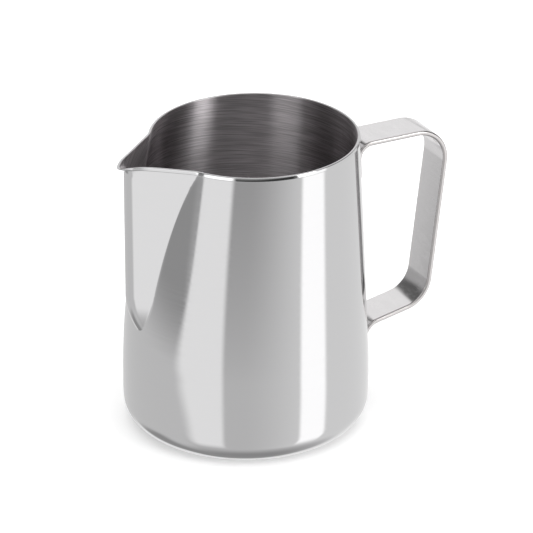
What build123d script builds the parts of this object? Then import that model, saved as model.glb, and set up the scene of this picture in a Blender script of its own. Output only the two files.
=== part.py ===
"""Milk frothing pitcher, 600 ml: a drawn stainless-steel cup with a pressed pouring spout,
and a bent strap handle spot-welded to its back.

Frame: millimetres, +Z up. The origin is the centre of the foot, on the surface that the
pitcher stands on. The spout points to -X and the handle to +X, and the pitcher is
symmetrical about the XZ plane.
"""
from build123d import *
from math import atan, cos, radians, sin, tan
import os

# ---- driving dimensions -----------------------------------------------------------------
height = 110.0               # foot to rim
wall = 0.8                   # thickness of the drawn sheet

# Cup: a cone that leans in towards the rim, over a rounded bottom corner.
belly_radius = 44.94         # where the cone's line meets the lower wall's line
belly_height = 16.5
belly_blend = 180.0          # radius of the soft shoulder there
rim_back = 41.15             # from the axis to the rim, on the handle side
corner_radius = 9.5          # bottom corner
corner_reach = 44.35         # the lower wall's line, carried down to the standing plane
foot_radius = 31.5           # inner edge of the ring that the cup stands on
dish_radius = 29.0           # edge of the raised centre of the base
dish_rise = 0.8
foot_blend = 3.0
join_height = 30.0           # below this the cup is turned, above it the spout changes it

# Spout: an upright V pressed out of the cone, with a rounded nose and a slanted toe.
# The pressing draws the round part of the cup towards the back.
toe_height = 44.0            # where the slanted toe leaves the cone
v_apex = 50.5                # where the two flanks would meet, from the axis
v_half_angle = 40.8          # between a flank and the plane of symmetry
v_root = 20.0                # the V is buried in the cup as far as this
nose_radius = 5.0
toe_run = 3.2                # rise of the toe for each millimetre outwards
toe_round = 4.0              # rounding of the edges round the toe
crease_round = 6.0           # hollow rounding of the creases beside the spout
rim_shift = 3.63             # how far back the round part is drawn at the rim
shift_power = 1.3
round_levels = [37.0, toe_height, 52.0, 62.0, 74.0, 86.0, 98.0, height]

# Pouring lip: a small round beak that curls out of the nose just below the rim.
lip_radius = 2.8
lip_start = 104.0
lip_reach = 2.8              # how far it stands out past the nose at the rim
lip_depth = 0.2              # it starts this far inside the nose
lip_steps = 3

# Rim: the edge of the sheet is turned out into a narrow band.
band_height = 0.9
band_flare = 0.35

# Handle: one flat strap with four bends, its two ends lying flat against the wall.
strap_width = 14.8
strap_thickness = 1.8
strap_edge = 0.7             # rounding of the strap's long edges
seat_depth = 0.1             # the tabs are dressed this deep to bed on the round wall
upper_tab_end = 87.4
lower_tab_end = 12.0
upper_arm_height = 100.3
grip_top = (79.8, 100.1)     # corners of the strap's middle line, (x, z)
grip_bottom = (71.5, 32.6)
lower_arm_end_height = 27.4
strap_bends = [5.4, 11.7, 11.3, 6.5]

# Spot welds: two nuggets, one over the other, under each tab. Each lies half in the wall
# and half in the strap.
nugget_radius = 1.4
nugget_in_wall = 0.4
nugget_in_strap = 0.5
nugget_spacing = 3.6
upper_weld_height = 91.0
lower_weld_height = 16.9

# ---- the cup's form -----------------------------------------------------------------------
wall_lean = (belly_radius - rim_back) / (height - belly_height)
nose_reach = v_apex - nose_radius * (1 / sin(radians(v_half_angle)) - 1)


def wall_radius(z):
    """Radius of the cone at height z, before the spout is pressed."""
    return belly_radius - wall_lean * (z - belly_height)


def round_shift(z):
    """How far the round part has been drawn towards the handle at height z."""
    share = max(z - toe_height, 0.0) / (height - toe_height)
    return rim_shift * share**shift_power


def cup_profile(inset):
    """Half section of the turned lower part, from the axis up to join_height."""
    return [
        (0, dish_rise + inset),
        (dish_radius, dish_rise + inset),
        (foot_radius, inset),
        (corner_reach - inset, inset),
        (belly_radius - inset, belly_height),
        (wall_radius(join_height) - inset, join_height),
    ]


def spout_plan(inset):
    """The V of the spout seen from above, with its rounded nose."""
    half_angle = radians(v_half_angle)
    apex = v_apex - inset / sin(half_angle)
    root_half_width = (apex - v_root) * tan(half_angle)
    with BuildSketch() as plan:
        with BuildLine():
            Polyline(
                (-v_root, root_half_width),
                (-apex, 0),
                (-v_root, -root_half_width),
                close=True,
            )
        make_face()
        fillet(plan.vertices().sort_by(Axis.X)[0], nose_radius - inset)
    return plan.sketch


def spout_form(inset):
    """The V of the spout as a solid block, with its slanted toe."""
    keel = nose_reach - inset
    toe = wall_radius(toe_height) - inset
    with BuildPart() as spout:
        with BuildSketch(Plane.XY.offset(join_height)):
            add(spout_plan(inset))
        extrude(amount=height - join_height)
        with BuildSketch(Plane.XZ):
            with BuildLine():
                Polyline(
                    (-v_root, join_height),
                    (-toe + (toe_height - join_height) / toe_run, join_height),
                    (-keel, toe_height + (keel - toe) * toe_run),
                    (-keel, height),
                    (-v_root, height),
                    close=True,
                )
            make_face()
        extrude(amount=belly_radius, both=True, mode=Mode.INTERSECT)
        toe_face = spout.faces().filter_by(lambda face: -0.9 < face.normal_at().Z < -0.1)
        toe_edges = toe_face.edges().filter_by_position(Axis.Z, join_height + 1, height)
        fillet(toe_edges, toe_round - inset)
    return spout.part


def lip_centre(climb):
    """How far the lip's centre is from the axis; climb goes from 0 at its foot to 1."""
    return nose_reach - lip_radius - lip_depth + (lip_depth + lip_reach) * climb**2


def lip_form(inset):
    """The pouring lip as a solid block: a round beak that slides out as it climbs."""
    with BuildPart() as lip:
        for step in range(lip_steps + 1):
            climb = step / lip_steps
            level = lip_start + climb * (height - lip_start)
            with BuildSketch(Plane.XY.offset(level)):
                with Locations((-lip_centre(climb), 0)):
                    Circle(lip_radius - inset)
        loft()
    return lip.part


def cup_form(inset):
    """The cup as a solid block: its outside with no inset, its hollow with the wall's."""
    blends = [foot_blend, foot_blend, corner_radius - inset, belly_blend - inset]
    with BuildPart() as form:
        with BuildSketch(Plane.XZ):
            with BuildLine():
                side = FilletPolyline(*cup_profile(inset), radius=blends)
                Polyline(side @ 1, (0, join_height), side @ 0)
            make_face()
        revolve(axis=Axis.Z)
        for level in [join_height] + round_levels:
            with BuildSketch(Plane.XY.offset(level)):
                with Locations((round_shift(level), 0)):
                    Circle(wall_radius(level) - round_shift(level) - inset)
        loft()
        add(spout_form(inset))
        round_wall = form.faces().sort_by(SortBy.AREA)[-1]
        creases = round_wall.edges().filter_by_position(Axis.X, -belly_radius, -v_root)
        fillet(creases, crease_round + inset)
        add(lip_form(inset))
    return form.part


outside = cup_form(0.0)
hollow = cup_form(wall)

# ---- where the strap meets the wall ---------------------------------------------------------
# The belly's soft shoulder cuts inside the corner where its two straight lines meet.
belly_turn = atan(wall_lean) + atan((belly_radius - corner_reach) / belly_height)
belly_face = belly_radius - belly_blend * (1 / cos(belly_turn / 2) - 1)


def tab_line(wall_face):
    """Middle line of a strap tab that is bedded on the wall's outside face."""
    return wall_face - seat_depth + strap_thickness / 2


strap_path = [
    (tab_line(wall_radius(upper_tab_end)), upper_tab_end),
    (tab_line(wall_radius(upper_arm_height)), upper_arm_height),
    grip_top,
    grip_bottom,
    (tab_line(belly_face), lower_arm_end_height),
    (tab_line(belly_face), lower_tab_end),
]


# ---- spot welds -----------------------------------------------------------------------------
def weld_nuggets(wall_plane):
    """A vertical pair of nuggets, centred on a plane that lies on the wall's outside."""
    with BuildPart() as nuggets:
        with BuildSketch(wall_plane.offset(-nugget_in_wall)):
            with GridLocations(0, nugget_spacing, 1, 2):
                Circle(nugget_radius)
        extrude(amount=nugget_in_wall + nugget_in_strap)
    return nuggets


upper_weld_point = (wall_radius(upper_weld_height), 0, upper_weld_height)
upper_wall_plane = Plane(upper_weld_point, x_dir=(0, 1, 0), z_dir=(1, 0, wall_lean))
upper_spot_welds = weld_nuggets(upper_wall_plane)
upper_spot_welds.part.label = "upper_spot_welds"

lower_weld_point = (belly_face, 0, lower_weld_height)
lower_wall_plane = Plane(lower_weld_point, x_dir=(0, 1, 0), z_dir=(1, 0, 0))
lower_spot_welds = weld_nuggets(lower_wall_plane)
lower_spot_welds.part.label = "lower_spot_welds"

# ---- body shell -----------------------------------------------------------------------------
with BuildPart() as body_shell:
    add(outside)
    with BuildSketch(Plane.XY.offset(height)) as band_plan:
        with Locations((round_shift(height), 0)):
            Circle(wall_radius(height) - round_shift(height) + band_flare)
        add(spout_plan(-band_flare))
        band_creases = band_plan.vertices().filter_by_position(Axis.X, -belly_radius, -v_root)
        fillet(band_creases, crease_round - band_flare)
        with Locations((-lip_centre(1), 0)):
            Circle(lip_radius + band_flare)
    extrude(amount=-band_height)
    add(upper_spot_welds.part, mode=Mode.SUBTRACT)
    add(lower_spot_welds.part, mode=Mode.SUBTRACT)
    add(hollow, mode=Mode.SUBTRACT)
body_shell.part.label = "body_shell"

# ---- handle strap ---------------------------------------------------------------------------
with BuildPart() as handle_strap:
    with BuildSketch(Plane.XZ):
        with BuildLine():
            FilletPolyline(*strap_path, radius=strap_bends)
        trace(line_width=strap_thickness)
    extrude(amount=strap_width / 2, both=True)
    side_edges = handle_strap.faces().filter_by(Axis.Y).edges()
    fillet(side_edges.filter_by(lambda edge: edge.length > 2 * strap_thickness), strap_edge)
    add(outside, mode=Mode.SUBTRACT)
    add(upper_spot_welds.part, mode=Mode.SUBTRACT)
    add(lower_spot_welds.part, mode=Mode.SUBTRACT)
handle_strap.part.label = "handle_strap"

# ---- files ----------------------------------------------------------------------------------
os.makedirs("parts", exist_ok=True)
export_step(body_shell.part, "parts/body_shell.step")
export_step(handle_strap.part, "parts/handle_strap.step")
export_step(upper_spot_welds.part, "parts/upper_spot_welds.step")
export_step(lower_spot_welds.part, "parts/lower_spot_welds.step")
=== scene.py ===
import cmath
from math import copysign, cos, pi, radians, sin, tan

import bpy
import numpy as np
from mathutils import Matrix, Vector


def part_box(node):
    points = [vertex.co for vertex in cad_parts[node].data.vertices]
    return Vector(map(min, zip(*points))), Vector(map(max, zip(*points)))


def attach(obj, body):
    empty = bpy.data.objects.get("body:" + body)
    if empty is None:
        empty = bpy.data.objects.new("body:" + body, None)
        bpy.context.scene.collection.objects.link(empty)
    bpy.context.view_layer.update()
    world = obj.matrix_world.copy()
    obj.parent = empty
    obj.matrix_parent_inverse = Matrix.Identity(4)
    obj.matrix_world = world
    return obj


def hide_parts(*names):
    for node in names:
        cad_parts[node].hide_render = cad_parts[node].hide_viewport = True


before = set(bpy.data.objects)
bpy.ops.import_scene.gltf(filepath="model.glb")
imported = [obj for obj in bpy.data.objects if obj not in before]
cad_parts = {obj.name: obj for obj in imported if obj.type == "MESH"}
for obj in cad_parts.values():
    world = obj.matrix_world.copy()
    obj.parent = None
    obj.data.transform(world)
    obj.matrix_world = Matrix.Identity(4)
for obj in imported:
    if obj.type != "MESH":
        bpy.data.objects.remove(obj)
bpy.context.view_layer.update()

# The pieces are drawn in millimetres, in the CAD's frame: +Z up, the spout towards -X, the
# handle towards +X. MM turns them into Blender's metres.
MM = 0.001
shell_low, shell_high = [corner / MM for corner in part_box("body_shell")]
strap_low, strap_high = [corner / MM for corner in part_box("handle_strap")]

# ---- sizes of the cup ---------------------------------------------------------------------
HEIGHT = shell_high.z
WALL = 0.8
CONE_FOOT_RADIUS = 44.80          # the cone's line, at CONE_FOOT_HEIGHT and at the rim
CONE_FOOT_HEIGHT = 20.0
CONE_RIM_RADIUS = 41.15
LEAN = (CONE_FOOT_RADIUS - CONE_RIM_RADIUS) / (HEIGHT - CONE_FOOT_HEIGHT)
JOIN_HEIGHT = 30.0                # below this the cup is round
CORNER_REACH = 44.5               # where the wall's foot would meet the table
CORNER_RADIUS = 9.5
CONE_FOOT_ROUNDING = 330.0        # between the wall's foot and the cone
FOOT_RING_RADIUS = 31.5           # inner edge of the ring that the cup stands on
DISH_RADIUS = 29.0                # of the flat middle of the base, raised off the table
DISH_HEIGHT = 0.8
DISH_ROUNDING = 3.0
POLE_RING_RADIUS = 0.5            # of the smallest ring round the axis
TURNED_STEPS = 12                 # steps in each rounding of the turned part

# ---- sizes of the spout ---------------------------------------------------------------------
TOE_HEIGHT = 44.0                 # where the spout's rounded toe leaves the cone
TOE_LENGTH = 14.0
KEEL_REACH = 47.5                 # the upright edge of the V, from the axis
NOSE_RADIUS = 6.0
HALF_ANGLE = radians(40.8)        # between a flank of the V and the plane of symmetry
TOE_CREASE_DEPTH = 0.12           # of the hollow where a flank meets the cone, at the toe
CREASE_GAIN = 2.6                 # it deepens upwards, and is shallower again at the rim
CREASE_LOSS = 2.2
RIM_SHIFT = 3.63                  # how far the round part is drawn back at the rim
SHIFT_POWER = 1.5
SHIFT_START = 34.0

# ---- sizes of the rim and its lip -----------------------------------------------------------
BAND_HEIGHT = 1.25
BAND_FLARE = 0.35                 # how far the band stands out at its foot
BAND_LEAN = 0.17                  # how far it leans back in by its top
BAND_SLOPE = 0.1                  # half the height in which the wall steps out to the band
BAND_START = 0.5                  # the rim's section starts this far below the band
LIP_HEIGHT = 5.0                  # the wall begins to curl out this far below the rim
LIP_ROLL = 1.3                    # how far the rolled edge of the lip stands out
LIP_ROLL_HEIGHT = 1.9
LIP_REACH = -shell_low.x - KEEL_REACH - LIP_ROLL
LIP_DIP = 1.8                     # how far the tip of the lip comes down
LIP_HALF_WIDTH = 5.0
PLAIN_WALL_END = 2.6              # the wall's plain rings stop this far below the rim
EDGE_INSIDE = 1.0                 # how far the edge's section reaches down the inside


# ---- mesh helpers ---------------------------------------------------------------------------
def rounded_line(corners, radii, steps=8):
    """Points and headings along a line with rounded corners, as complex numbers."""
    heading = corners[1] - corners[0]
    heading /= abs(heading)
    points = [corners[0]]
    headings = [heading]
    for corner, after, radius in zip(corners[1:], corners[2:], radii):
        heading_out = (after - corner) / abs(after - corner)
        turn = cmath.phase(heading_out / heading)
        start = corner - heading * radius * tan(abs(turn) / 2)
        centre = start + heading * 1j * copysign(radius, turn)
        for step in range(steps + 1):
            swing = cmath.exp(1j * turn * step / steps)
            points.append(centre + (start - centre) * swing)
            headings.append(heading * swing)
        heading = heading_out
    points.append(corners[-1])
    headings.append(heading)
    return points, headings


def piece_from_rings(name, rings, first_pole, last_pole):
    """A closed smooth mesh through rings of points, with a pole at each end."""
    rings = np.asarray(rings)
    ring_count, around, _ = rings.shape
    vertices = [tuple(point) for point in rings.reshape(-1, 3) * MM]
    vertices += [tuple(value * MM for value in pole) for pole in (first_pole, last_pole)]
    first = len(vertices) - 2
    last = len(vertices) - 1
    last_ring = (ring_count - 1) * around
    faces = []
    for start in range(0, last_ring, around):
        for i in range(around):
            j = (i + 1) % around
            faces.append((start + around + i, start + around + j, start + j, start + i))
    faces += [(i, (i + 1) % around, first) for i in range(around)]
    faces += [(last, last_ring + (i + 1) % around, last_ring + i) for i in range(around)]
    mesh = bpy.data.meshes.new(name)
    mesh.from_pydata(vertices, [], faces)
    mesh.shade_smooth()
    piece = bpy.data.objects.new(name, mesh)
    bpy.context.scene.collection.objects.link(piece)
    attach(piece, "root")
    return piece


# ---- body shell -----------------------------------------------------------------------------
def angles_round_the_cup():
    """Angles from the spout, closest together at its nose and its creases."""
    half = np.concatenate([
        np.arange(0.0, 42.0, 0.3),
        np.arange(42.0, 180.0, 1.5),
    ])
    return np.radians(np.concatenate([half, [180.0], -half[:0:-1]]))


def cone_radius(levels):
    return CONE_FOOT_RADIUS - LEAN * (levels - CONE_FOOT_HEIGHT)


def climb_share(levels, start):
    """0 up to the height called start, and from there to 1 at the rim."""
    return np.maximum(levels - start, 0.0) / (HEIGHT - start)


def keel_reach(levels):
    """How far the V's edge is from the axis: upright, and rounded inwards at the toe."""
    foot = cone_radius(TOE_HEIGHT)
    below = np.maximum(TOE_HEIGHT + TOE_LENGTH - levels, 0.0) / TOE_LENGTH
    return KEEL_REACH - (KEEL_REACH - foot) * below**2


def round_reach(turn, level, outset):
    """Reach of the round part, which is drawn back a little as the spout is pressed."""
    shift = RIM_SHIFT * climb_share(level, SHIFT_START) ** SHIFT_POWER
    radius = cone_radius(level) - shift + outset
    return np.sqrt(radius**2 - (shift * np.sin(turn)) ** 2) - shift * np.cos(turn)


def spout_reach(turn, level, outset):
    """Reach of the V: a rounded nose, and a straight flank on each side of it."""
    nose_centre = keel_reach(level) - NOSE_RADIUS
    nose = NOSE_RADIUS + outset
    flank_start = np.arctan2(nose * cos(HALF_ANGLE), nose_centre + nose * sin(HALF_ANGLE))
    on_nose = np.minimum(turn, flank_start)
    nose_reach = nose_centre * np.cos(on_nose)
    nose_reach += np.sqrt(nose**2 - (nose_centre * np.sin(on_nose)) ** 2)
    apex = nose_centre + nose / sin(HALF_ANGLE)
    across_flank = np.minimum(HALF_ANGLE + np.maximum(turn, flank_start), pi / 2)
    flank_reach = apex * sin(HALF_ANGLE) / np.sin(across_flank)
    return np.where(turn < flank_start, nose_reach, flank_reach)


def wall_reach(angles, levels, outset):
    """Distance of the wall from the axis, for each level and each angle from the spout."""
    turn = abs(angles)[None, :]
    front = spout_reach(turn, levels, outset)
    back = round_reach(turn, levels, outset)
    share = climb_share(levels, TOE_HEIGHT)
    blend = TOE_CREASE_DEPTH + share * (CREASE_GAIN - CREASE_LOSS * share)
    overlap = np.maximum(blend - abs(front - back), 0.0)
    return np.maximum(front, back) + overlap**2 / (4 * blend)


def nearness_to_lip(across):
    """1 at the spout's nose, falling to 0 away from it."""
    return 1 / (1 + (across / LIP_HALF_WIDTH) ** 2) ** 2


def curl_lip(points):
    """Curls the top of the spout's nose outwards and down into the pouring lip."""
    climb = np.clip((points[..., 2] - (HEIGHT - LIP_HEIGHT)) / LIP_HEIGHT, 0.0, 1.0)
    curl = climb**2 * nearness_to_lip(points[..., 1]) * (points[..., 0] < 0)
    points[..., 0] -= LIP_REACH * curl
    points[..., 2] -= LIP_DIP * curl


def wall_rings(angles, levels, outset):
    """Rings of the wall. Levels and outsets are one for each ring and each angle."""
    reach = wall_reach(angles, levels, outset)
    points = np.stack([-reach * np.cos(angles), reach * np.sin(angles), levels], axis=-1)
    curl_lip(points)
    return points


def base_rings(angles, inset):
    """The turned part of the cup, from beside the axis out and up to the join."""
    corners = [
        POLE_RING_RADIUS + (DISH_HEIGHT + inset) * 1j,
        DISH_RADIUS + (DISH_HEIGHT + inset) * 1j,
        FOOT_RING_RADIUS + inset * 1j,
        CORNER_REACH - inset + inset * 1j,
        CONE_FOOT_RADIUS - inset + CONE_FOOT_HEIGHT * 1j,
        cone_radius(JOIN_HEIGHT) - inset + JOIN_HEIGHT * 1j,
    ]
    radii = [DISH_ROUNDING, DISH_ROUNDING, CORNER_RADIUS - inset, CONE_FOOT_ROUNDING - inset]
    line, _ = rounded_line(corners, radii, TURNED_STEPS)
    return np.array([
        [(-p.real * cos(a), p.real * sin(a), p.imag) for a in angles] for p in line
    ])


# Rim and lip in section: real part outwards from the outside face, imaginary part up. They
# have as many corners, so that the one can turn into the other.
RIM_CORNERS = [
    0.0 + (HEIGHT - BAND_HEIGHT - BAND_START) * 1j,
    0.0 + (HEIGHT - BAND_HEIGHT - BAND_SLOPE) * 1j,
    BAND_FLARE + (HEIGHT - BAND_HEIGHT + BAND_SLOPE) * 1j,
    BAND_FLARE - BAND_LEAN + HEIGHT * 1j,
    -WALL + HEIGHT * 1j,
    -WALL + (HEIGHT - EDGE_INSIDE) * 1j,
]
RIM_RADII = [0.12, 0.12, 0.25, 0.3]
LIP_CORNERS = [
    0.0 + (HEIGHT - PLAIN_WALL_END) * 1j,
    0.0 + (HEIGHT - LIP_ROLL_HEIGHT) * 1j,
    LIP_ROLL + (HEIGHT - LIP_ROLL_HEIGHT) * 1j,
    LIP_ROLL + HEIGHT * 1j,
    -WALL + HEIGHT * 1j,
    -WALL + (HEIGHT - EDGE_INSIDE) * 1j,
]
LIP_RADII = [0.3, 0.9, 0.9, 0.6]
EDGE_STEPS = 12


def wall_levels():
    """Heights of the plain wall's rings, closest together at the toe and below the lip."""
    toe_zone = (40.0, 60.0)
    lip_zone = 104.0
    return np.concatenate([
        np.arange(JOIN_HEIGHT + 2.0, toe_zone[0], 2.0),
        np.arange(*toe_zone, 0.4),
        np.arange(toe_zone[1], lip_zone, 2.0),
        np.arange(lip_zone, HEIGHT - PLAIN_WALL_END, 0.5),
    ])


def wall_section(levels, corners, radii):
    """The wall in section: up the outside, over the edge and down the inside."""
    edge, _ = rounded_line(corners, radii, EDGE_STEPS)
    outside = [complex(0.0, level) for level in levels]
    inside = [complex(-WALL, level) for level in levels[::-1]]
    return np.array(outside + edge + inside)[:, None]


def build_body_shell():
    angles = angles_round_the_cup()
    levels = wall_levels()
    share = nearness_to_lip(2 * KEEL_REACH * np.sin(angles / 2))
    rim = wall_section(levels, RIM_CORNERS, RIM_RADII)
    lip = wall_section(levels, LIP_CORNERS, LIP_RADII)
    section = rim * (1 - share) + lip * share
    wall = wall_rings(angles, section.imag, section.real)
    outer_base = base_rings(angles, 0.0)
    inner_base = base_rings(angles, WALL)[::-1]
    rings = np.concatenate([outer_base, wall, inner_base])
    poles = [(0.0, 0.0, DISH_HEIGHT), (0.0, 0.0, DISH_HEIGHT + WALL)]
    piece = piece_from_rings("pitcher_body", rings, *poles)

    # The brushed inside starts before the rounding at the rim's inner corner.
    polished_corners = len(RIM_RADII) - 1
    polished_edge = polished_corners * (EDGE_STEPS + 1) + 1
    inside_start = len(outer_base) + len(levels) + polished_edge
    inside = [min(face.vertices) // len(angles) >= inside_start for face in piece.data.polygons]
    piece.data.polygons.foreach_set("material_index", inside)
    return piece


# ---- handle strap ---------------------------------------------------------------------------
STRAP_THICKNESS = 1.8
STRAP_WIDTH = strap_high.y - strap_low.y
STRAP_EDGE = 0.7                  # rounding of the long edges
STRAP_END = 0.5                   # rounding of the two ends
STRAP_DULL_SHADED_SIDE = 0.2             # within this of its two sides the strap is rougher, and darkened as painted shade
SEAT_DEPTH = 0.1                  # how far the upper tab sits into the wall
UPPER_TAB_END = 87.4
UPPER_ARM_HEIGHT = 100.3
GRIP_TOP = 79.8 + 100.1j          # corners of the strap's middle line, x and z
GRIP_BOTTOM = 71.5 + 32.6j
LOWER_ARM_HEIGHT = 27.4
LOWER_TAB_REACH = 45.61
LOWER_TAB_END = 12.0
BEND_RADII = [5.4, 11.7, 11.3, 6.5]
BEND_STEPS = 18
EDGE_ROUNDING_STEPS = 6
END_ROUNDING_STEPS = 4


def strap_section(shrink):
    """A rounded rectangle as (across the thickness, across the width)."""
    half_thickness = STRAP_THICKNESS / 2 - shrink
    half_width = STRAP_WIDTH / 2 - shrink
    edge = STRAP_EDGE - shrink
    points = []
    for corner, (side, end) in enumerate([(1, 1), (-1, 1), (-1, -1), (1, -1)]):
        for step in range(EDGE_ROUNDING_STEPS + 1):
            angle = pi / 2 * (corner + step / EDGE_ROUNDING_STEPS)
            points.append((
                side * (half_thickness - edge) + edge * cos(angle),
                end * (half_width - edge) + edge * sin(angle),
            ))
    return points


def rounded_end(tip, heading, inwards):
    """Stations from a tip of the strap inwards, each with its place, heading and shrinkage."""
    stations = []
    for step in range(END_ROUNDING_STEPS + 1):
        angle = pi / 2 * (1 - step / END_ROUNDING_STEPS)
        place = tip + STRAP_END * (1 - sin(angle)) * inwards
        stations.append((place, heading, STRAP_END * (1 - cos(angle))))
    return stations


def build_handle_strap():
    tab_offset = STRAP_THICKNESS / 2 - SEAT_DEPTH
    line, headings = rounded_line([
        complex(cone_radius(UPPER_TAB_END) + tab_offset, UPPER_TAB_END),
        complex(cone_radius(UPPER_ARM_HEIGHT) + tab_offset, UPPER_ARM_HEIGHT),
        GRIP_TOP,
        GRIP_BOTTOM,
        complex(LOWER_TAB_REACH, LOWER_ARM_HEIGHT),
        complex(LOWER_TAB_REACH, LOWER_TAB_END),
    ], BEND_RADII, BEND_STEPS)
    stations = rounded_end(line[0], headings[0], headings[0])
    stations += [(place, heading, 0.0) for place, heading in zip(line[1:-1], headings[1:-1])]
    stations += rounded_end(line[-1], headings[-1], -headings[-1])[::-1]
    rings = []
    for middle, heading, shrink in stations:
        ring = []
        for across, along_width in strap_section(shrink):
            place = middle + across * heading * 1j
            ring.append((place.real, along_width, place.imag))
        rings.append(ring)
    ends = [np.mean(rings[0], axis=0), np.mean(rings[-1], axis=0)]
    return piece_from_rings("handle_strap_metal", rings, *ends)


# ---- shader nodes ---------------------------------------------------------------------------
class Nodes:
    """Short names for the shader nodes that the materials and the world are made of."""

    def __init__(self, tree):
        self.tree = tree
        tree.nodes.clear()

    def add(self, kind, **settings):
        node = self.tree.nodes.new(kind)
        for name, value in settings.items():
            setattr(node, name, value)
        return node

    def feed(self, socket, value):
        """Gives a socket either another socket's output or a constant."""
        if isinstance(value, bpy.types.NodeSocket):
            self.tree.links.new(value, socket)
        else:
            socket.default_value = value

    def math(self, operation, *values):
        node = self.add("ShaderNodeMath", operation=operation)
        for socket, value in zip(node.inputs, values):
            self.feed(socket, value)
        return node.outputs[0]

    def times(self, first, second):
        return self.math("MULTIPLY", first, second)

    def vector(self, operation, *values):
        node = self.add("ShaderNodeVectorMath", operation=operation)
        for socket, value in zip(node.inputs, values):
            self.feed(socket, value)
        return node.outputs["Value" if operation == "LENGTH" else "Vector"]

    def place(self):
        """The place on the piece, in metres."""
        return self.add("ShaderNodeTexCoord").outputs["Object"]

    def smooth(self, value, start, end):
        """0 at start and 1 at end, with a smooth climb between them and flat beyond."""
        node = self.add("ShaderNodeMapRange", interpolation_type="SMOOTHSTEP")
        self.feed(node.inputs["Value"], value)
        self.feed(node.inputs["From Min"], start)
        self.feed(node.inputs["From Max"], end)
        return node.outputs[0]

    def window(self, value, low, high, soft_low, soft_high):
        """1 between low and high and 0 outside, with edges twice as wide as their softness."""
        rise = self.smooth(value, low - soft_low, low + soft_low)
        fall = self.smooth(value, high - soft_high, high + soft_high)
        return self.times(rise, self.math("SUBTRACT", 1.0, fall))

    def mix(self, share, low, high):
        """A number that goes from low to high as share goes from 0 to 1."""
        return self.math("ADD", low, self.times(share, self.math("SUBTRACT", high, low)))

    def tone(self, share, first, second):
        """A colour that goes from first to second as share goes from 0 to 1."""
        node = self.add("ShaderNodeMix", data_type="RGBA")
        self.feed(node.inputs["Factor"], share)
        self.feed(node.inputs["A"], first)
        self.feed(node.inputs["B"], second)
        return node.outputs["Result"]

    def streaks(self, scale, detail, place=None):
        """Noise drawn out along the axes that scale makes small."""
        stretched = self.add("ShaderNodeMapping")
        self.feed(stretched.inputs["Vector"], self.place() if place is None else place)
        stretched.inputs["Scale"].default_value = scale
        noise = self.add("ShaderNodeTexNoise")
        self.feed(noise.inputs["Vector"], stretched.outputs[0])
        noise.inputs["Scale"].default_value = 1.0
        noise.inputs["Detail"].default_value = detail
        noise.inputs["Roughness"].default_value = 0.65
        return noise.outputs["Fac"]


def new_nodes(name):
    material = bpy.data.materials.new(name)
    material.use_nodes = True
    return material, Nodes(material.node_tree)


# ---- steel ----------------------------------------------------------------------------------
def steel_shader(nodes, color, roughness):
    shader = nodes.add("ShaderNodeBsdfPrincipled")
    shader.inputs["Metallic"].default_value = 1
    nodes.feed(shader.inputs["Base Color"], color)
    nodes.feed(shader.inputs["Roughness"], roughness)
    output = nodes.add("ShaderNodeOutputMaterial")
    nodes.feed(output.inputs["Surface"], shader.outputs[0])
    return shader


def raise_surface(nodes, shader, height, strength, distance):
    """Tilts the shader's normals as if the surface stood up to distance metres higher."""
    bump = nodes.add("ShaderNodeBump")
    bump.inputs["Strength"].default_value = strength
    bump.inputs["Distance"].default_value = distance
    nodes.feed(bump.inputs["Height"], height)
    nodes.feed(shader.inputs["Normal"], bump.outputs[0])


def round_the_cup(nodes):
    """The level direction along the surface, or round the axis where the surface is level."""
    normal = nodes.add("ShaderNodeNewGeometry").outputs["Normal"]
    along = nodes.vector("CROSS_PRODUCT", normal, (0, 0, 1))
    circling = nodes.vector("CROSS_PRODUCT", (0, 0, 2), nodes.place())
    return nodes.vector("ADD", along, circling)


def turned_place(nodes):
    """The place on the piece, with its distance from the axis added to its height."""
    flat = nodes.vector("MULTIPLY", nodes.place(), (1, 1, 0))
    lift = nodes.add("ShaderNodeCombineXYZ")
    nodes.feed(lift.inputs["Z"], nodes.vector("LENGTH", flat))
    return nodes.vector("ADD", nodes.place(), lift.outputs[0])


def polished_steel():
    """Mirror polish with faint buffing lines round the cup."""
    material, nodes = new_nodes("polished_steel")
    buffing = nodes.streaks((30.0, 30.0, 1700.0), 2.0)
    cloud = nodes.streaks((25.0, 25.0, 25.0), 2.0)
    roughness = nodes.mix(nodes.smooth(buffing, 0.35, 0.65), 0.02, 0.09)
    roughness = nodes.math("ADD", roughness, nodes.times(cloud, 0.02))
    shader = steel_shader(nodes, (0.62, 0.617, 0.622, 1), roughness)
    raise_surface(nodes, shader, buffing, strength=0.06, distance=0.00003)
    return material


def brushed_steel():
    """Fine brushing round the inside of the cup, which smears reflections up and down."""
    material, nodes = new_nodes("brushed_steel")
    place = turned_place(nodes)
    fine = nodes.streaks((90.0, 90.0, 5200.0), 1.0, place)
    coarse = nodes.streaks((65.0, 65.0, 2600.0), 1.0, place)
    lines = nodes.math("ADD", nodes.times(fine, 0.5), nodes.times(coarse, 0.5))
    shade = nodes.smooth(lines, 0.36, 0.66)
    color = nodes.tone(shade, (0.44, 0.415, 0.425, 1), (0.74, 0.70, 0.72, 1))
    shader = steel_shader(nodes, color, nodes.mix(shade, 0.43, 0.37))
    shader.inputs["Anisotropic"].default_value = 1.0
    shader.inputs["Anisotropic Rotation"].default_value = 0.25
    nodes.feed(shader.inputs["Tangent"], round_the_cup(nodes))
    raise_surface(nodes, shader, lines, strength=0.25, distance=0.00004)
    return material


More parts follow.
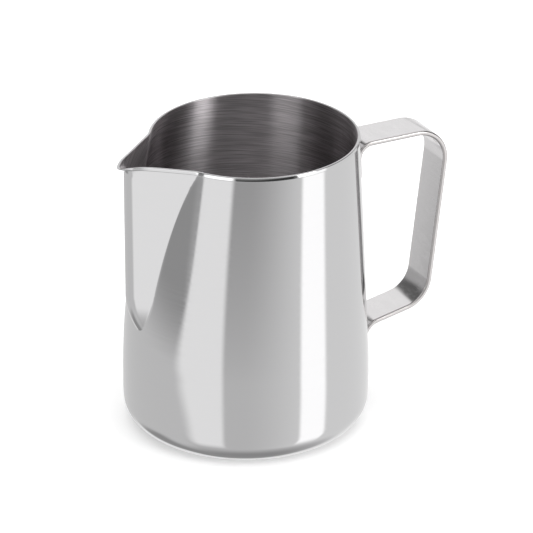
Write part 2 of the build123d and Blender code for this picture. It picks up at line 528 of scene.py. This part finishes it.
def strap_steel():
    """Satin strip with soft patches where it was bent, duller along its cut edges, where its
    colour is also darkened as painted shade.
    """
    material, nodes = new_nodes("strap_steel")
    lines = nodes.streaks((1500.0, 90.0, 1500.0), 2.0)
    patches = nodes.streaks((300.0, 120.0, 300.0), 2.0)
    cloud = nodes.smooth(patches, 0.38, 0.66)

    # The cut edges are the strap's two narrow sides, and their rounding. There the roughness
    # rises, and the colour is darkened as painted shade to draw a dark line along the sides.
    axes = nodes.add("ShaderNodeSeparateXYZ")
    nodes.feed(axes.inputs[0], nodes.place())
    from_middle = nodes.math("ABSOLUTE", axes.outputs["Y"])
    rounding_start = (STRAP_WIDTH / 2 - STRAP_EDGE) * MM
    side_start = (STRAP_WIDTH / 2 - STRAP_DULL_SHADED_SIDE) * MM
    dull_edge_painted_shade = nodes.smooth(from_middle, rounding_start, side_start)

    color = nodes.tone(cloud, (0.80, 0.785, 0.79, 1), (0.84, 0.825, 0.83, 1))
    # Painted shade: the colour darkens towards the two sides to draw the dark line along them.
    color = nodes.tone(dull_edge_painted_shade, color, (0.55, 0.53, 0.525, 1))
    roughness = nodes.math("ADD", nodes.mix(cloud, 0.12, 0.24), nodes.times(lines, 0.05))
    shader = steel_shader(nodes, color, nodes.mix(dull_edge_painted_shade, roughness, 0.3))
    relief = nodes.math("ADD", lines, patches)
    raise_surface(nodes, shader, relief, strength=0.08, distance=0.00004)
    return material


def weld_steel():
    """Dull grey metal, blued a little by the heat of welding."""
    material, nodes = new_nodes("weld_steel")
    stain = nodes.streaks((900.0, 900.0, 900.0), 3.0)
    color = nodes.tone(stain, (0.5, 0.46, 0.42, 1), (0.42, 0.45, 0.5, 1))
    steel_shader(nodes, color, nodes.mix(stain, 0.35, 0.55))
    return material


# ---- pieces ---------------------------------------------------------------------------------
body = build_body_shell()
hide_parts("body_shell")
body.data.materials.append(polished_steel())
body.data.materials.append(brushed_steel())

strap = build_handle_strap()
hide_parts("handle_strap")
strap.data.materials.append(strap_steel())

weld_material = weld_steel()
for node in ("upper_spot_welds", "lower_spot_welds"):
    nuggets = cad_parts[node]
    nuggets.data.materials.clear()
    nuggets.data.materials.append(weld_material)

# ---- camera ---------------------------------------------------------------------------------
CAMERA_TARGET = Vector((6.70, -3.52, 58.84)) * MM
CAMERA_AZIMUTH = radians(-27.7)
CAMERA_ELEVATION = radians(25.67)
CAMERA_DISTANCE = 1565.2 * MM
CAMERA_SENSOR_WIDTH = 36.0        # millimetres
CAMERA_LENS = 293.3               # millimetres

camera = bpy.data.objects.new("camera", bpy.data.cameras.new("camera"))
bpy.context.scene.collection.objects.link(camera)
towards_camera = Vector((
    sin(CAMERA_AZIMUTH) * cos(CAMERA_ELEVATION),
    -cos(CAMERA_AZIMUTH) * cos(CAMERA_ELEVATION),
    sin(CAMERA_ELEVATION),
))
camera.location = CAMERA_TARGET + towards_camera * CAMERA_DISTANCE
camera.rotation_mode = "QUATERNION"
camera.rotation_quaternion = (-towards_camera).to_track_quat("-Z", "Y")
camera.data.sensor_width = CAMERA_SENSOR_WIDTH
camera.data.lens = CAMERA_LENS
bpy.context.scene.camera = camera

# ---- light ----------------------------------------------------------------------------------
# The polished wall shows whatever is round it, so the studio is drawn as a surrounding of
# soft panels. Azimuths are in degrees to the right of the camera, seen from the pitcher, and
# elevations are in degrees above the horizon. Each panel and patch is softened by a few
# degrees at its edges. Light is a multiple of the white that the picture can show.
OVERHEAD_SPREAD = radians(80.0)
OVERHEAD_STRENGTH = 1.7


def studio_angles(nodes):
    """Azimuth and elevation of each direction of the surroundings."""
    axes = nodes.add("ShaderNodeSeparateXYZ")
    nodes.feed(axes.inputs[0], nodes.add("ShaderNodeTexCoord").outputs["Generated"])
    x, y, z = axes.outputs
    turned = nodes.math("SUBTRACT", nodes.math("ARCTAN2", x, nodes.times(y, -1.0)), CAMERA_AZIMUTH)
    azimuth = nodes.math("DEGREES", nodes.math("WRAP", turned, pi, -pi))
    elevation = nodes.math("DEGREES", nodes.math("ARCSINE", z))
    return azimuth, elevation


def room_light(nodes, azimuth, elevation):
    """The light of the room between the panels."""
    # All round it is grey below the horizon, darker just above it, and white higher up.
    light = nodes.mix(nodes.smooth(elevation, -24.0, -4.0), 0.70, 0.45)
    light = nodes.mix(nodes.smooth(elevation, 0.0, 10.0), light, 0.28)
    light = nodes.mix(nodes.smooth(elevation, 16.0, 42.0), light, 1.0)

    # The left side is greyer from a little below the horizon, and so is the floor there.
    left = nodes.window(azimuth, -200.0, -60.0, 4.0, 4.0)
    left_light = nodes.mix(nodes.smooth(elevation, -21.0, -14.0), 0.75, 0.40)
    light = nodes.mix(left, light, left_light)
    low_left = nodes.times(
        nodes.window(azimuth, -170.0, -95.0, 15.0, 15.0),
        nodes.window(elevation, -75.0, -40.0, 6.0, 6.0),
    )
    light = nodes.mix(low_left, light, 0.38)

    # The right side is lighter the further it is from the camera. Straight down it is grey.
    right = nodes.times(
        nodes.window(azimuth, -10.0, 200.0, 10.0, 4.0),
        nodes.window(elevation, -52.0, 4.0, 8.0, 8.0),
    )
    light = nodes.mix(right, light, nodes.mix(nodes.smooth(azimuth, -5.0, 72.0), light, 0.93))
    light = nodes.mix(nodes.smooth(elevation, -45.0, -80.0), light, 0.37)

    # Above the horizon it is dark, but for the front, and the ceiling is dark all over.
    front = nodes.window(azimuth, -62.0, 84.0, 6.0, 6.0)
    dark = nodes.times(nodes.smooth(elevation, 8.0, 20.0), nodes.math("SUBTRACT", 1.0, front))
    back_left = nodes.window(azimuth, -181.0, -100.0, 1.0, 10.0)
    light = nodes.mix(dark, light, nodes.mix(back_left, 0.03, 0.12))
    light = nodes.mix(nodes.smooth(elevation, 55.0, 75.0), light, 0.05)

    # A low dark patch in front darkens the line under the rim.
    low_front = nodes.times(
        nodes.window(azimuth, -24.0, 46.0, 3.0, 6.0),
        nodes.window(elevation, -5.0, 9.0, 2.0, 3.0),
    )
    return nodes.mix(low_front, light, 0.05)


def left_panel_share(nodes, azimuth, elevation):
    """1 across the left panel, whose left edge bows outwards and is softer further down."""
    left_edge = -53.0
    bow_width = 13.0
    drop = nodes.math("DIVIDE", nodes.math("ADD", elevation, 20.0), 6.5)
    bow = nodes.math("EXPONENT", nodes.times(nodes.times(drop, drop), -1.0))
    bowed = nodes.math("ADD", azimuth, nodes.times(bow, bow_width))
    blur = nodes.mix(nodes.smooth(elevation, -24.0, -11.0), 8.0, 1.5)
    outer = nodes.math("SUBTRACT", left_edge, blur)
    inner = nodes.math("ADD", left_edge, blur)
    past_right_edge = nodes.smooth(azimuth, -24.0, -18.0)
    return nodes.times(
        nodes.smooth(bowed, outer, inner),
        nodes.math("SUBTRACT", 1.0, past_right_edge),
    )


def build_studio():
    world = bpy.data.worlds.new("studio")
    bpy.context.scene.world = world
    world.use_nodes = True
    nodes = Nodes(world.node_tree)
    azimuth, elevation = studio_angles(nodes)
    light = room_light(nodes, azimuth, elevation)
    left = left_panel_share(nodes, azimuth, elevation)
    right = nodes.window(azimuth, 52.5, 80.0, 2.5, 3.0)
    upper_right = nodes.window(azimuth, 47.0, 67.0, 2.0, 2.0)
    back_right = nodes.window(azimuth, 90.0, 150.0, 6.0, 6.0)
    back = nodes.smooth(nodes.math("ABSOLUTE", azimuth), 140.0, 155.0)
    panels = [
        # share of each azimuth, the two elevations it reaches and their softness, light
        (left, (-42.0, 2.0), (9.0, 4.0), 1.14),
        (left, (2.0, 42.0), (4.0, 8.0), 1.90),
        (right, (-42.0, 2.0), (8.0, 4.0), 1.58),
        (upper_right, (2.0, 30.0), (4.0, 8.0), 6.00),
        (back_right, (52.0, 76.0), (6.0, 6.0), 0.80),
        (back, (8.0, 68.0), (5.0, 5.0), 0.90),
        (back, (-62.0, -36.0), (4.0, 4.0), 1.05),
    ]
    for across, reach, softness, panel_light in panels:
        panel = nodes.times(across, nodes.window(elevation, *reach, *softness))
        light = nodes.mix(panel, light, panel_light)

    background = nodes.add("ShaderNodeBackground")
    background.inputs["Color"].default_value = (1, 1, 1, 1)
    nodes.feed(background.inputs["Strength"], light)
    output = nodes.add("ShaderNodeOutputWorld")
    nodes.feed(output.inputs["Surface"], background.outputs[0])


def build_overhead_light():
    """A very soft light that whitens the floor, and that the steel does not show."""
    overhead = bpy.data.objects.new("overhead", bpy.data.lights.new("overhead", "SUN"))
    bpy.context.scene.collection.objects.link(overhead)
    overhead.data.angle = OVERHEAD_SPREAD
    overhead.data.energy = OVERHEAD_STRENGTH
    overhead.visible_glossy = False


build_studio()
build_overhead_light()


# ---- floor and backdrop ---------------------------------------------------------------------
STAGE_RADIUS = 4.0                # metres
BACKDROP_SIDES = 64


def floor_material():
    """White board, faintly cloudy, that gives off enough light to soften the shadow on it."""
    material, nodes = new_nodes("floor")
    cloud = nodes.streaks((6.0, 6.0, 6.0), 3.0)
    color = nodes.tone(cloud, (0.88, 0.88, 0.88, 1), (0.92, 0.92, 0.92, 1))
    shader = nodes.add("ShaderNodeBsdfPrincipled")
    nodes.feed(shader.inputs["Base Color"], color)
    shader.inputs["Roughness"].default_value = 0.8
    shader.inputs["Emission Color"].default_value = (1, 1, 1, 1)
    shader.inputs["Emission Strength"].default_value = 0.28
    output = nodes.add("ShaderNodeOutputMaterial")
    nodes.feed(output.inputs["Surface"], shader.outputs[0])
    return material


def backdrop_material():
    """The same white board, far away and evenly lit."""
    material, nodes = new_nodes("backdrop")
    glow = nodes.add("ShaderNodeEmission")
    cloud = nodes.streaks((0.5, 0.5, 0.5), 2.0)
    nodes.feed(glow.inputs["Strength"], nodes.mix(cloud, 1.0, 1.03))
    output = nodes.add("ShaderNodeOutputMaterial")
    nodes.feed(output.inputs["Surface"], glow.outputs[0])
    return material


def ring(radius, height):
    angles = np.arange(BACKDROP_SIDES) * 2 * pi / BACKDROP_SIDES
    return [(radius * cos(a), radius * sin(a), height) for a in angles]


def stage_piece(name, vertices, faces, material):
    mesh = bpy.data.meshes.new(name)
    mesh.from_pydata(vertices, [], faces)
    mesh.materials.append(material)
    piece = bpy.data.objects.new(name, mesh)
    bpy.context.scene.collection.objects.link(piece)
    piece.visible_glossy = False
    return piece


def build_stage():
    """A round floor, and a wall round it that only the camera sees."""
    sides = range(BACKDROP_SIDES)
    floor = ring(STAGE_RADIUS, 0.0)
    stage_piece("floor", floor, [tuple(sides)], floor_material())
    wall_faces = []
    for i in sides:
        j = (i + 1) % BACKDROP_SIDES
        wall_faces.append((i, j, j + BACKDROP_SIDES, i + BACKDROP_SIDES))
    wall_vertices = floor + ring(STAGE_RADIUS, STAGE_RADIUS)
    wall = stage_piece("backdrop", wall_vertices, wall_faces, backdrop_material())
    wall.visible_diffuse = False
    wall.visible_shadow = False


build_stage()

bpy.context.scene.view_settings.view_transform = "Standard"
